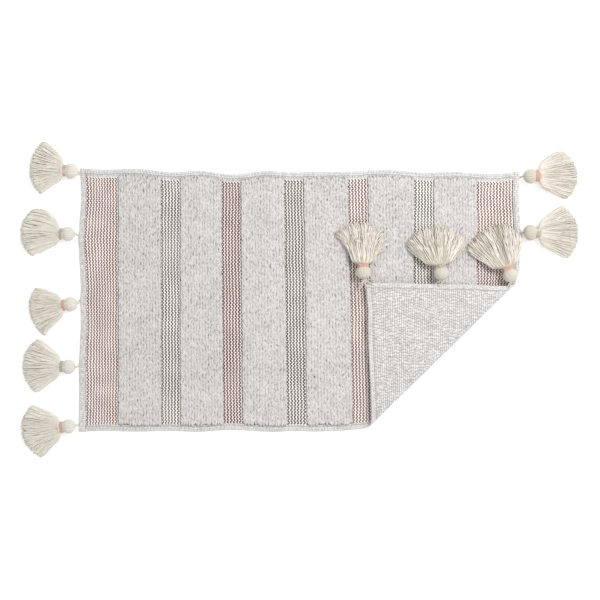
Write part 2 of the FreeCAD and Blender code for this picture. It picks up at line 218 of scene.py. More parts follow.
def new_piece(name, points, faces, attributes):
    """A smooth mesh object, from points in mm and named numbers for its material."""
    mesh = bpy.data.meshes.new(name)
    mesh.from_pydata((np.asarray(points) * MM).tolist(), [], faces)
    for key, values in attributes.items():
        values = np.asarray(values, np.float32)
        kind, field = ("FLOAT", "value") if values.ndim == 1 else ("FLOAT_VECTOR", "vector")
        mesh.attributes.new(key, kind, "POINT").data.foreach_set(field, values.ravel())
    mesh.shade_smooth()
    mesh.update()
    return link(bpy.data.objects.new(name, mesh))


def points_of(piece):
    """A piece's points, in mm."""
    co = np.zeros(len(piece.data.vertices) * 3)
    piece.data.vertices.foreach_get("co", co)
    return co.reshape(-1, 3) / MM


def carry(piece, how):
    """Moves a piece's points by warped or by folded."""
    piece.data.vertices.foreach_set("co", (how(points_of(piece)) * MM).ravel())
    piece.data.update()


def grid_faces(rows, columns):
    """The four-sided faces between a grid's points."""
    k = np.arange(rows * columns).reshape(rows, columns)
    return np.stack([k[:-1, :-1], k[1:, :-1], k[1:, 1:], k[:-1, 1:]], axis=-1).reshape(-1, 4)


def rim(rows, columns):
    """The indices round a grid's edge, in order."""
    k = np.arange(rows * columns).reshape(rows, columns)
    return np.concatenate([k[:, 0], k[-1, 1:], k[-2::-1, -1], k[0, -2:0:-1]])


def closed(x, y, top, bottom, full_bottom=True):
    """Points and faces of a closed slab, and which places of the grid its lower face has.
    With full_bottom False, that face is one flat polygon."""
    upper, lower = xyz(x, y, top).reshape(-1, 3), xyz(x, y, bottom + 0 * x).reshape(-1, 3)
    edge, shift = rim(*x.shape), len(upper)
    faces = grid_faces(*x.shape).tolist()
    if full_bottom:
        faces += (grid_faces(*x.shape)[:, ::-1] + shift).tolist()
        under, keep = edge + shift, np.arange(shift)
    else:
        under, keep = np.arange(len(edge)) + shift, edge
        faces.append(under.tolist())
    walls = np.stack([edge, np.roll(edge, -1), np.roll(under, -1), under], axis=1)
    return np.concatenate([upper, lower[keep]]), faces + walls[:, ::-1].tolist(), keep


def slab(name, x, y, top, bottom, attributes, full_bottom=True):
    """A closed slab as a piece. The attributes give each of the grid's places its numbers."""
    points, faces, keep = closed(x, y, top, bottom, full_bottom)
    values = {k: np.concatenate([v.reshape(x.size, -1), v.reshape(x.size, -1)[keep]]).squeeze()
              for k, v in attributes.items()}
    return new_piece(name, points, faces, values)


def keep_side(piece, sign):
    """Cuts a piece still lying flat at the middle of the roll, keeps one side and closes the cut."""
    work = bmesh.new()
    work.from_mesh(piece.data)
    plane = (*(ROLL_MIDDLE * MM * ACROSS_FOLD), 0)
    cut = bmesh.ops.bisect_plane(work, geom=[*work.verts, *work.edges, *work.faces], plane_co=plane,
                                 plane_no=(*(sign * ACROSS_FOLD), 0), dist=1e-7, clear_outer=True)
    edges = [e for e in cut["geom_cut"] if isinstance(e, bmesh.types.BMEdge)]
    bmesh.ops.edgenet_fill(work, edges=edges)
    work.to_mesh(piece.data)
    work.free()


def dress(piece, material, nodes):
    """Gives a piece its finish and says which CAD nodes it stands for."""
    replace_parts(piece, *nodes)
    piece.data.materials.append(material)


def bend_lower(piece):
    """Bakes the transform of a piece on the lower half of the roll into its mesh."""
    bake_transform(piece)


def bend_upper(piece):
    """Bakes the transform of a piece on the upper half of the roll and the turned-over corner into its mesh.
    """
    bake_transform(piece)


def lay(piece, material, nodes, flap_nodes=()):
    """Puts a flat piece on the mat. Where it crosses the fold it becomes two, one each side of the roll."""
    carry(piece, warped)
    across = points_of(piece)[:, :2] @ ACROSS_FOLD
    dress(piece, material, nodes)
    if across.max() < ROLL_FROM - BEND_MARGIN:
        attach(piece, "mat")
        return [piece]
    pieces = [piece]
    if across.max() > ROLL_MIDDLE:
        flap = link(piece.copy())
        flap.data = piece.data.copy()
        flap.name = "flap_" + piece.name
        flap["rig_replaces"] = []
        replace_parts(flap, *flap_nodes)
        keep_side(piece, 1)
        keep_side(flap, -1)
        pieces.append(flap)
    for one, bend in zip(pieces, (bend_lower, bend_upper)):
        carry(one, folded)
        bend(one)
    return pieces


def grid(x0, x1, y0, y1, step_x, step_y):
    """Evenly spaced places over a rectangle, about one step apart."""
    x = np.linspace(x0, x1, max(2, round((x1 - x0) / step_x) + 1))
    y = np.linspace(y0, y1, max(2, round((y1 - y0) / step_y) + 1))
    return np.meshgrid(x, y, indexing="ij")


# ---------- materials

SPECULAR, SHEEN_ROUGHNESS = 0.25, 0.6  # all the yarns are matt cotton


def set_inputs(node, values):
    """Sets a node's own sockets by name."""
    for key, value in values.items():
        node.inputs[key].default_value = value


class Graph:
    """Short calls that build one material's nodes."""

    def __init__(self, name, roughness, sheen):
        self.material = bpy.data.materials.new(name)
        self.material.use_nodes = True
        self.tree = self.material.node_tree
        self.surface = self.tree.nodes["Principled BSDF"]
        set_inputs(self.surface, {"Roughness": roughness, "Specular IOR Level": SPECULAR,
                                  "Sheen Weight": sheen, "Sheen Roughness": SHEEN_ROUGHNESS})

    def node(self, kind, inputs, **settings):
        """A new node, whose inputs are numbers or sockets."""
        made = self.tree.nodes.new(kind)
        for key, value in settings.items():
            setattr(made, key, value)
        for key, value in inputs.items():
            if isinstance(value, bpy.types.NodeSocket):
                self.tree.links.new(value, made.inputs[key])
            else:
                made.inputs[key].default_value = value
        return made

    def value(self, name):
        return self.node("ShaderNodeAttribute", {}, attribute_name=name).outputs["Fac"]

    def vector(self, name):
        return self.node("ShaderNodeAttribute", {}, attribute_name=name).outputs["Vector"]

    def parts(self, vector):
        return self.node("ShaderNodeSeparateXYZ", {0: vector}).outputs

    def math(self, operation, *values):
        return self.node("ShaderNodeMath", dict(enumerate(values)), operation=operation).outputs[0]

    def add(self, a, b):
        return self.math("ADD", a, b)

    def times(self, a, b):
        return self.math("MULTIPLY", a, b)

    def step(self, value, low, high, to_low=0.0, to_high=1.0):
        """A value from low to high carried smoothly to another range."""
        inputs = {0: value, 1: low, 2: high, 3: to_low, 4: to_high}
        return self.node("ShaderNodeMapRange", inputs, interpolation_type="SMOOTHSTEP").outputs[0]

    def scaled(self, vector, factors):
        """A vector stretched by its own factor along each axis."""
        return self.node("ShaderNodeVectorMath", {0: vector, 1: factors}, operation="MULTIPLY").outputs[0]

    def noise(self, vector, scale, detail=2.0):
        """Noise from 0 to 1. The scale is in cells to the millimetre."""
        inputs = {"Vector": vector, "Scale": scale, "Detail": detail}
        return self.node("ShaderNodeTexNoise", inputs).outputs[0]

    def mix(self, factor, a, b, blend="MIX"):
        """Two colours mixed, each an rgb tuple or a socket."""
        colour = [(*c, 1) if isinstance(c, tuple) else c for c in (a, b)]
        inputs = {0: factor, 6: colour[0], 7: colour[1]}
        return self.node("ShaderNodeMix", inputs, data_type="RGBA", blend_type=blend).outputs[2]

    def tone(self, colour, factor):
        """The colour times a grey factor."""
        grey = self.node("ShaderNodeCombineColor", {0: factor, 1: factor, 2: factor}).outputs[0]
        return self.mix(1.0, colour, grey, "MULTIPLY")

    def paint(self, colour, height, distance):
        """Ends the material: its colour, and bump of the given height, distance mm deep."""
        self.tree.links.new(colour, self.surface.inputs["Base Color"])
        bump = self.node("ShaderNodeBump", {"Strength": 1.0, "Distance": distance * MM, "Height": height})
        self.tree.links.new(bump.outputs[0], self.surface.inputs["Normal"])
        return self.material


def rgb(red, green, blue):
    """A colour as it looks on a screen, 0 to 255, in the linear numbers that shaders use."""
    return tuple(((c / 255 + 0.055) / 1.055) ** 2.4 for c in (red, green, blue))


def pile_material():
    """Uncut cotton loops: paler tips and hollows painted darker and a little warmer as shade, each loop a
    little different, with fine fibre.
    """
    g = Graph("cotton_pile", 0.95, 0.25)
    flat = g.vector("flat")
    # painted shade: the deeper a place lies below the loops' tops, the darker and a little warmer its colour
    colour = g.mix(g.step(g.value("shade_depth"), 0.0, 1.0), rgb(217, 213, 211), rgb(167, 162, 158))
    patches = g.step(g.noise(flat, 0.035, 3), 0.3, 0.7, 0.97, 1.02)
    loops = g.step(g.value("tuft"), 0.0, 1.0, 0.88, 1.06)
    fibre = g.noise(g.scaled(flat, (1.9, 0.7, 1.2)), 1.0, 3)
    speck = g.step(fibre, 0.25, 0.75, 0.92, 1.06)
    colour = g.tone(colour, g.times(g.times(patches, loops), speck))
    return g.paint(colour, fibre, 0.5)


THREAD_PITCH = (3.1, 3.4)  # the plain weave's threads along and across the mat
HOLLOW_SHADE = 0.56  # the hollows between its threads, as a share of their dark colour


def cloth_material(name, pale, dark):
    """Plain ribbed cotton: threads over and under each other, painted paler where they rise and darker where
    they dip, with painted shade in the hollows.
    """
    g = Graph(name, 0.92, 0.2)
    flat = g.vector("flat")
    x, y, _ = g.parts(flat)
    wander = g.times(g.noise(flat, 0.12, 2), 3.0)
    rows, picks = (g.math("SINE", g.add(g.times(place, TURN / pitch), wander))
                   for place, pitch in zip((x, y), THREAD_PITCH))
    crossing = g.times(rows, picks)
    fibre = g.noise(g.scaled(flat, (1.1, 1.1, 1.1)), 1.0, 3)
    height = g.add(g.times(crossing, 0.5), fibre)
    # painted highlight and shade: the threads are paler where their bump rises and darker where it dips
    colour = g.mix(g.step(height, -0.1, 0.9), dark, pale)
    # painted shade: the hollows are darkened towards a share of the dark colour
    colour = g.mix(g.step(g.value("shade_depth"), 0.1, 1.0), colour, tuple(HOLLOW_SHADE * c for c in dark))
    patches = g.step(g.noise(flat, 0.03, 3), 0.3, 0.7, 0.98, 1.015)
    own = g.step(g.value("tuft"), 0.0, 1.0, 0.94, 1.05)
    return g.paint(g.tone(colour, g.times(patches, own)), height, 0.35)


ZIGZAG = 0.205  # how far a stripe's white slubs lie to the left and right by turns, in columns
SLUB_HALF = (0.355, 0.53)  # half a white slub's width in columns, and half its length in picks


def stripe_material(name, thread, shadow):
    """White slubs in zigzag columns, with coloured thread between them that is painted darker in the hollows
    as shade.
    """
    g = Graph(name, 0.9, 0.2)
    flat = g.vector("flat")
    u, v, edge = g.parts(g.vector("weave"))
    fluff = g.noise(flat, 0.9, 2)
    swing = g.times(g.math("SINE", g.times(v, math.pi)), ZIGZAG)
    across = g.math("SUBTRACT", g.math("FRACT", g.math("SUBTRACT", u, swing)), 0.5)
    along = g.math("SUBTRACT", g.math("FRACT", v), 0.5)
    across, along = (g.math("DIVIDE", value, half) for value, half in zip((across, along), SLUB_HALF))
    away = g.add(g.times(across, across), g.times(along, along))
    away = g.times(away, g.value("open"))
    away = g.add(away, g.times(g.math("SUBTRACT", fluff, 0.5), 0.95))
    white = g.step(away, 0.75, 1.15, 1.0, 0.0)
    # painted shade: in the deep hollows between the slubs the thread's colour turns to the shadow colour
    gap = g.mix(g.step(away, 0.95, 1.7), thread, shadow)
    gap = g.tone(gap, g.step(g.noise(flat, 0.25, 2), 0.3, 0.7, 0.85, 1.15))
    # painted shade: each white slub is palest at its middle, where it stands highest, and darker towards its
    # rim
    cotton = g.tone(g.mix(g.step(away, 0.0, 0.9), rgb(255, 253, 250), rgb(232, 226, 219)),
                    g.step(fluff, 0.25, 0.75, 0.94, 1.04))
    height = g.add(fluff, g.times(white, 0.5))
    # painted shadow: near the stripe's right edge the colour turns to the shadow colour, where the pile band
    # beside it would cast shade
    return g.paint(g.mix(g.times(edge, 0.8), g.mix(white, gap, cotton), shadow), height, 0.4)


YARN_FIBRE = 0.8  # the scale of the fibres in a thread


def yarn_material(name, pale, dark, twist):
    """Twisted yarn. The mesh's yarn vector holds the cosine and sine round the thread and the mm along it."""
    g = Graph(name, 0.9, 0.3)
    cosine, sine, along = g.parts(g.vector("yarn"))
    phase = g.times(along, TURN / twist)
    ply = g.add(g.times(g.math("SINE", phase), cosine), g.times(g.math("COSINE", phase), sine))
    fibre = g.noise(g.vector("flat"), YARN_FIBRE, 2)
    height = g.add(g.times(ply, 0.5), fibre)
    colour = g.mix(g.step(g.value("tone"), 0.0, 1.0), dark, pale)
    # painted shade: the yarn is darker in the grooves between its plies and fibres and paler on their crests
    colour = g.tone(colour, g.step(height, -0.2, 1.2, 0.88, 1.06))
    return g.paint(colour, height, 0.3)


PILE = pile_material()
GROUND = cloth_material("ground_weave", rgb(236, 233, 231), rgb(212, 208, 205))
HEM_CLOTH = cloth_material("hem_weave", rgb(233, 231, 229), rgb(200, 197, 194))
STRIPES = {"pink": stripe_material("stripe_pink_weave", rgb(206, 140, 125), rgb(76, 44, 39)),
           "green": stripe_material("stripe_green_weave", rgb(156, 153, 128), rgb(56, 54, 43))}
TASSEL_YARN = yarn_material("tassel_cotton", rgb(243, 238, 228), rgb(184, 175, 157), 2.6)
CORD_YARN = yarn_material("cord_cotton", rgb(222, 216, 203), rgb(170, 163, 149), 2.2)
SEAM_YARN = yarn_material("seam_cotton", rgb(222, 218, 212), rgb(200, 195, 188), 1.2)
BANDS = {"pink": yarn_material("band_pink_thread", rgb(224, 181, 168), rgb(190, 144, 132), 1.4),
         "green": yarn_material("band_green_thread", rgb(194, 193, 173), rgb(160, 159, 139), 1.4)}


# ---------- the cloth, its pile and its stripes

LOOP_ACROSS, LOOP_ALONG = 2.9, 5.1  # from row to row, and from loop to loop along a row
LOOP_HALF = (1.75, 3.7)  # half a loop's width and length
LOOP_JITTER = (0.4, 0.7)  # how unevenly the loops stand, in rows and in loops along a row
LOOP_TURN = 0.7  # how differently they point, in radians
LOOP_VARIES = 0.9  # how much lower the lowest loops stand
LOOP_CROWN = 1.6  # how far a loop falls away from its top to its edge
PILE_SINKS = 0.5  # how much lower the pile stands in its flattest patches
HOLLOW_DEPTH = 2.8  # below the loops' tops, where the pile's painted shade is at its darkest
PILE_STEP = (0.7, 1.1)
PILE_LAP = (2, 1.5)  # how far a band's base runs on under the stripes, and under the hems
PILE_BASE = 1.8  # just under the cloth's upper face
UNDERSIDE = 1.4  # the lower face of the pile and the stripes, inside the cloth
FIRST_FOLDED = 5  # the first pile band and the first stripe that reach the fold


def pile_heights(x, y, x0, x1, seed):
    """The tops of rows of uncut loops, and at each place its loop's own number."""
    pitch = (x1 - x0) / round((x1 - x0) / LOOP_ACROSS)
    row, place = whole((x - x0) / pitch), whole(y / LOOP_ALONG)
    lean = noise(x, y, 26, seed + 5)
    best, owner = np.full(x.shape, PILE_BASE), np.zeros(x.shape)
    for i in (row - 1, row, row + 1):
        for j in (place - 2, place - 1, place, place + 1):
            chance = [cell_noise(i, j, seed + k) for k in range(5)]
            cx = x0 + pitch * (i + 0.5 + LOOP_JITTER[0] * (chance[0] - 0.5) + 0.12 * (2 * (i % 2) - 1))
            cy = LOOP_ALONG * (j + 0.5 + 0.5 * (i % 2) + LOOP_JITTER[1] * (chance[1] - 0.5))
            turn = LOOP_TURN * (chance[2] - 0.5) + 0.2 * lean
            dx, dy = x - cx, y - cy
            du = (dx * np.cos(turn) + dy * np.sin(turn)) / LOOP_HALF[0]
            dv = (dy * np.cos(turn) - dx * np.sin(turn)) / LOOP_HALF[1]
            away = du * du + dv * dv
            height = PILE_TOP - LOOP_VARIES * chance[3] - LOOP_CROWN * away
            inside = (cx > x0 - 0.5) & (cx < x1 - 2.4) & (abs(cy) < INNER_Y - 0.5) & (away < 2.2)
            height = np.where(inside, height, PILE_BASE)
            owner = np.where(height > best, chance[4], owner)
            best = np.maximum(best, height)
    best -= np.where(best > 3.5, PILE_SINKS / 2 * (1 + noise(x, y, 34, seed + 9)), 0)
    return best, owner


def make_pile(number):
    """One piled band, which grows up through the cloth with a loose edge over its neighbours."""
    name = f"pile_band_{number}"
    x0, x1 = span(name)[0][0], span(name)[1][0]
    end = INNER_Y + PILE_LAP[1]
    x, y = grid(x0 - PILE_LAP[0], x1 + PILE_LAP[0], -end, end, *PILE_STEP)
    top, owner = pile_heights(x, y, x0, x1, 100 * number)
    # how deep each place lies below the loops' tops, which sets the darkness of its painted shade
    shade_depth = np.clip((PILE_TOP - LOOP_VARIES - top) / HOLLOW_DEPTH, 0, 1)
    values = {"flat": xyz(x, y, top), "tuft": owner, "shade_depth": shade_depth}
    crosses = number >= FIRST_FOLDED
    piece = slab(name + "_loops", x, y, top, UNDERSIDE, values, crosses)
    nodes = [name, "fold_pile"] if crosses else [name]
    lay(piece, PILE, nodes, [f"flap_{name}"])


COLUMN, PICK = 6.2, 3.4  # from slub to slub across a stripe, and along it
STRIPE_STEP = 0.75
STRIPE_LAP = 2.2  # how far a stripe runs on under its neighbours
STRIPE_ENDS = (1, 2.8)  # how far it runs on at the bottom, and stops short at the top
OPEN_STRIPES = {3: 1.3, 4: 1.15, 2: 1.05}  # stripes with smaller white slubs than the rest, and by how much


def weave_places(x, y, x0, columns, width, seed):
    """Column and pick numbers of a woven patch, wandering a little as hand weaving does."""
    u = (x - x0) * columns / width
    u = u + 0.13 * noise(x, y, 40, seed) + 0.09 * noise(x, y, 9, seed + 1)
    v = (y + 1.6 * noise(x, y, 60, seed + 2)) / PICK + 0.16 * noise(x, y, 8, seed + 3)
    return u, v


def slub_relief(u, v):
    """How high the white slubs of a zigzag weave stand, from 0 to 1."""
    across = ((u - ZIGZAG * np.sin(math.pi * v)) % 1 - 0.5) / SLUB_HALF[0]
    along = (v % 1 - 0.5) / SLUB_HALF[1]
    return np.sqrt(np.clip(1.2 - across**2 - along**2, 0, 1))


def make_stripe(number, colour):
    """One flat woven stripe between two piled bands."""
    name = f"stripe_{number}_{colour}"
    x0, x1 = span(name)[0][0], span(name)[1][0]
    y0, y1 = -INNER_Y - STRIPE_ENDS[0], INNER_Y - STRIPE_ENDS[1]
    x, y = grid(x0 - STRIPE_LAP, x1 + STRIPE_LAP, y0, y1, STRIPE_STEP, STRIPE_STEP)
    u, v = weave_places(x, y, x0, round((x1 - x0) / COLUMN), x1 - x0, 40 + number)
    # edge lowers the weave near the right edge, and sets the painted shadow of the pile band beside it there
    edge = ease((x - x1 + 1.9) / 1.0)
    top = CLOTH_TOP + 0.1 + (STRIPE_TOP - CLOTH_TOP + 0.3) * slub_relief(u, v) * (1 - 0.8 * edge)
    open_weave = OPEN_STRIPES.get(number, 1.0) + 0.12 * noise(x, y, 22, 90 + number)
    values = {"flat": xyz(x, y, top), "weave": xyz(u, v, edge), "open": open_weave}
    piece = slab(name + "_weave", x, y, top, UNDERSIDE, values, number >= FIRST_FOLDED)
    flap_nodes = [f"flap_{name}"] if number > FIRST_FOLDED else []
    lay(piece, STRIPES[colour], [name], flap_nodes)


CLOTH_LAP = 2.0  # how far the cloth runs on under the hems
BACK_RELIEF = 1.0  # how deep the hollows of the cloth's back are
DASH_PITCH, DASH_LENGTH = 3.95, 6.0  # from row to row of dashes, and along a row
CLOTH_STEP, FLAP_STEP = 3.0, (1.3, 0.7)
FLAP_FROM = 90.0  # the back's fine grid is right of this and below it


def dashes(x, y):
    """The plain weave's dashes of thread: each place's height, from 0 to 1, and each dash's own number."""
    v = (y + 0.7 * noise(x, y, 45, 77) + 0.5 * noise(x, y, 7, 78)) / DASH_PITCH
    row = whole(v)
    u = x / DASH_LENGTH + 0.9 * cell_noise(row, 0 * row, 79) + 0.55 * noise(x, 40.0 * row, 9, 81)
    own = cell_noise(row, whole(u), 80)
    round_off = 1.1 - ((u % 1 - 0.5) / 0.5) ** 2 - ((v % 1 - 0.5) / 0.5) ** 2
    return (0.7 + 0.3 * own) * np.sqrt(np.clip(round_off, 0, 1)), own


def back_relief(x, y):
    """The back of the cloth: how deep each place lies below its dashes, and each dash's own number."""
    bumps, own = dashes(x, y)
    across = warped(xyz(x, y, 0 * x).reshape(-1, 3))[:, :2] @ ACROSS_FOLD
    fade = ease((across.reshape(x.shape) - ROLL_MIDDLE) / 5)
    return BACK_RELIEF * np.clip(1 - bumps, 0, 1) * fade, own


def cloth_side(name, x, y, bottom, values, side, nodes):
    """The ground cloth on one side of the roll's middle, carried round the fold."""
    piece = slab(name, x, y, CLOTH_TOP + 0 * x, bottom, values)
    carry(piece, warped)
    keep_side(piece, side)
    carry(piece, folded)
    dress(piece, GROUND, nodes)
    return piece


def make_cloth():
    """The one ground cloth: the part on the floor, and the turned-over corner with its back showing."""
    half_x, half_y = HALF_X - HEM + CLOTH_LAP, INNER_Y + CLOTH_LAP
    x, y = grid(-half_x, half_x, -half_y, half_y, CLOTH_STEP, CLOTH_STEP)
    values = {"flat": xyz(x, y, 0 * x), "tuft": 0 * x + 0.5}
    base = cloth_side("ground_cloth_weave", x, y, 0.0, values, 1, ["ground_cloth", "fold_cloth"])
    bend_lower(base)
    x, y = grid(FLAP_FROM, half_x, -half_y, FLAP_FROM, *FLAP_STEP)
    relief, own = back_relief(x, y)
    # the hollows' depth also sets the painted shade that darkens them
    values = {"flat": xyz(x, y, 0 * x), "shade_depth": relief / BACK_RELIEF, "tuft": own}
    flap = cloth_side("flap_cloth_weave", x, y, relief, values, -1, ["flap_cloth"])
    bend_upper(flap)
    return base, flap


SEAM_IN = 10.0  # from the mat's edge to the stitching
SEAM_GROOVE = 0.95  # half the width of the groove that the stitching makes
HEM_ROUND, HEM_TAPER = 3.2, 2.2  # how wide a hem's rounded rim is, and its thinner inner edge
HEM_THINNEST = 0.02  # half a hem's thickness at its very rim
HEM_STEP = (0.8, 0.9)
HEM_OVERLAP = 3.5  # how far the top hem lies over the ends of the woven stripes
LEFT_HEM_GAP = 2.0  # the left hem is this much narrower, and stops short of the top and bottom ones


def hem_profile(edge, end, along, bumps, seed):
    """A turned hem's upper and lower face and the painted shade of its hollows, for places so far from its
    edge, end and start.
    """
    half = HEM_TOP / 2
    round_off = np.sqrt(np.clip(1 - np.clip(1 - np.minimum(edge, end) / HEM_ROUND, 0, 1) ** 2, 0, 1))
    inner = 1 - 0.35 * ease((edge - (HEM - HEM_TAPER)) / HEM_TAPER)
    groove = np.exp(-(((edge - SEAM_IN) / SEAM_GROOVE) ** 2))
    puff = 0.3 * noise(edge, along, 17, seed) + 0.16 * noise(edge, along, 2.6, seed + 1)
    rib = np.cos(TURN * (along + 0.4 * edge + 1.2 * noise(edge, along, 14, seed + 2)) / PICK)
    plump = half * round_off * inner
    weave = 0.3 * rib + 0.8 * bumps - 0.8
    top = half + np.maximum(plump - 0.45 * groove + (puff + weave) * round_off, HEM_THINNEST)
    bottom = half - np.maximum(plump - 0.5 * groove + 0.9 * weave * round_off, HEM_THINNEST)
    # painted shade: darkest in the seam's groove and between the dashes, lighter where the hem puffs up
    low = np.clip(0.5 * groove + (0.06 * (1 - rib) + 0.7 * (1 - bumps) - 0.1) * round_off - 0.2 * puff, 0, 1)
    return np.minimum(top, HEM_TOP), np.maximum(bottom, 0), low


def make_hem(name, x0, x1, y0, y1, flap_node=None):
    """One turned hem along an edge of the mat."""
    upright = (y1 - y0) > (x1 - x0)
    step = HEM_STEP if upright else HEM_STEP[::-1]
    x, y = grid(x0, x1, y0, y1, *step)
    edge = (HALF_X - abs(x)) if upright else (HALF_Y - abs(y))
    end = np.minimum(y - y0, y1 - y) if upright else np.minimum(x - x0, x1 - x)
    bumps, own = dashes(x, y)
    top, bottom, low = hem_profile(edge, end + 0.8, y if upright else x, bumps, 300 + len(name))
    values = {"flat": xyz(x, y, top), "shade_depth": low, "tuft": own}
    piece = slab(name + "_cloth", x, y, top, bottom, values)
    return lay(piece, HEM_CLOTH, [name], [flap_node] if flap_node else [])


def make_hems():
    """The side hems run the whole height, and the top and bottom ones fit between them."""
    pieces = make_hem("hem_left", -HALF_X, -HALF_X + HEM - LEFT_HEM_GAP, -HALF_Y, HALF_Y)
    pieces += make_hem("hem_right", HALF_X - HEM, HALF_X, -HALF_Y, HALF_Y, "flap_hem_end")
    pieces += make_hem("hem_top", -HALF_X + HEM, HALF_X - HEM, HALF_Y - HEM - HEM_OVERLAP, HALF_Y)
    pieces += make_hem("hem_bottom", -HALF_X + HEM, HALF_X - HEM, -HALF_Y, -HALF_Y + HEM, "flap_hem_side")
    return pieces


# ---------- thread, yarn and tassels


def tubes(paths, radii, sides, tones, up=(0.0, 0.0, 1.0)):
    """Round threads along many paths of the same number of points: points, faces and yarn values."""
    paths = np.asarray(paths, float)
    strands, rings, _ = paths.shape
    radii = np.broadcast_to(radii, (strands, rings))
    tangent = np.gradient(paths, axis=1)
    tangent /= np.linalg.norm(tangent, axis=2, keepdims=True) + 1e-12
    side = np.cross(tangent, np.array(up))
    side /= np.linalg.norm(side, axis=2, keepdims=True) + 1e-9
    over = np.cross(side, tangent)
    angle = TURN * np.arange(sides) / sides
    cosine, sine = np.cos(angle), np.sin(angle)
    ring = cosine[:, None] * side[:, :, None] + sine[:, None] * over[:, :, None]
    points = paths[:, :, None] + radii[:, :, None, None] * ring
    steps = np.linalg.norm(np.diff(paths, axis=1), axis=2)
    along = np.concatenate([np.zeros((strands, 1)), np.cumsum(steps, axis=1)], axis=1)
    k = np.arange(strands * rings * sides).reshape(strands, rings, sides)
    k_next = np.roll(k, -1, axis=2)
    quads = np.stack([k[:, :-1], k[:, 1:], k_next[:, 1:], k_next[:, :-1]], axis=-1).reshape(-1, 4)
    faces = quads.tolist() + k[:, 0].tolist() + k[:, -1, ::-1].tolist()
    shape = (strands, rings, sides)
    yarn = xyz(*(np.broadcast_to(part, shape) for part in (cosine, sine, along[:, :, None])))
    tone = np.broadcast_to(np.asarray(tones, float).reshape(-1, 1, 1), shape)
    return points.reshape(-1, 3), faces, yarn.reshape(-1, 3), tone.reshape(-1)


def joined(parts):
    """Several sets of points, faces and yarn values as one."""
    points, faces, yarn, tone, start = [], [], [], [], 0
    for p, f, w, t in parts:
        points.append(p)
        faces += [[k + start for k in face] for face in f]
        yarn.append(w)
        tone.append(t)
        start += len(p)
    return np.concatenate(points), faces, np.concatenate(yarn), np.concatenate(tone)


STITCH, STITCH_GAP, THREAD = 3.5, 1.7, 0.5  # a stitch, the gap after it, and the thread's radius
STITCH_REACH = (-0.5, -0.36, -0.15, 0.15, 0.36, 0.5)  # places along a stitch, in stitches
STITCH_RISE = (-0.7, 0.0, 0.3, 0.3, 0.0, -0.7)  # and how far above the seam each one lies


def stitch_line(start, end, z, side):
    """Stitch paths along a straight seam: each dips into the cloth at both ends."""
    start, end = np.array(start, float), np.array(end, float)
    length = np.linalg.norm(end - start)
    count = int(length / (STITCH + STITCH_GAP))
    centres = start + (end - start) * ((np.arange(count) + 0.5) / count)[:, None]
    direction = (end - start) / length
    reach = np.array(STITCH_REACH) * STITCH
    rise = np.array(STITCH_RISE) * side
    paths = np.zeros((count, len(reach), 3))
    paths[:, :, :2] = centres[:, None] + reach[:, None] * direction
    paths[:, :, 2] = z + rise
    return paths


def make_stitches():
    """The seam that holds the hems, on the front everywhere and on the back of the turned-over corner."""
    x, y = HALF_X - SEAM_IN, HALF_Y - SEAM_IN
    corners = [(-x, y), (x, y), (x, -y), (-x, -y), (-x, y)]
    runs = list(zip(corners[:-1], corners[1:]))
    front = np.concatenate([stitch_line(a, b, HEM_TOP - 1.0, 1) for a, b in runs])
    back = np.concatenate([stitch_line(a, b, 0.45, -1) for a, b in runs])
    pieces = []
    for name, sign, node, bend in (("seam_stitches", 1, "seam_thread", bend_lower),
                                   ("flap_seam_stitches", -1, "flap_seam_thread", bend_upper)):
        paths = front if sign > 0 else np.concatenate([front, back])
        middle = warped(paths.mean(axis=1))[:, :2] @ ACROSS_FOLD
        paths = paths[(ROLL_MIDDLE - middle) * sign > 0]
        tones = cell_noise(np.arange(len(paths)), 3, 8)
        points, faces, yarn, tone = tubes(paths, THREAD, 6, tones)
        piece = new_piece(name, folded(warped(points)), faces, {"yarn": yarn, "tone": tone, "flat": points})
        dress(piece, SEAM_YARN, [node])
        bend(piece)
        pieces.append(piece)
    return pieces


class Place:
    """A tassel's own frame: x away from the hem, y across, z up, from where the cord meets the head."""

    def __init__(self, name):
        lift, swing = joint_of(f"tassel_{name}_lift"), joint_of(f"tassel_{name}_swing")
        axis = lift["axis"]
        self.out = np.array([-axis[1], axis[0], 0.0])
        self.across = np.array([-axis[0], -axis[1], 0.0])
        slide, aside = NUDGES[name]
        self.origin = np.array(lift["pos_m"]) / MM + slide * self.out + aside * self.across
        self.stitch = np.array(swing["pos_m"]) / MM

    def world(self, local):
        """Points of the tassel's frame in the mat's frame."""
        local = np.asarray(local, float)
        up = np.array([0, 0, 1.0])
        level = self.origin + local[..., :1] * self.out + local[..., 1:2] * self.across
        return level + local[..., 2:3] * up

    def local(self, world):
        """Points of the mat's frame in the tassel's frame."""
        away = np.asarray(world, float) - self.origin
        return xyz(away @ self.out, away @ self.across, away[..., 2])


# Each tassel's skirt as it lies: its longest reach, then for each side where its outermost strand ends
# (out, across) and how soon it gets there (1 straight, more for a rounder shoulder). Then its band's colour.
SKIRTS = {
    "left_1": (98, (73, 50, 0.9), (78, 54, 2.0), "pink"),
    "left_2": (109, (88, 43, 1.1), (86, 49, 4.0), "green"),
    "left_3": (98, (76, 54, 1.2), (80, 41, 2.1), "pink"),
    "left_4": (106, (80, 54, 1.3), (80, 51, 1.5), "green"),
    "left_5": (109, (79, 55, 1.2), (85, 49, 1.5), "pink"),
    "right_1": (109, (80, 49, 3.0), (87, 46, 1.5), "pink"),
    "right_2": (110, (82, 53, 1.7), (91, 51, 1.6), "green"),
    "right_3": (116, (92, 62, 1.3), (80, 46, 1.7), "pink"),
    "right_4": (106, (82, 60, 1.4), (72, 56, 1.3), "green"),
    "right_5": (112, (92, 49, 0.2), (76, 53, 0.4), "pink"),
}
FLAP_TASSELS = ("right_3", "right_4", "right_5")

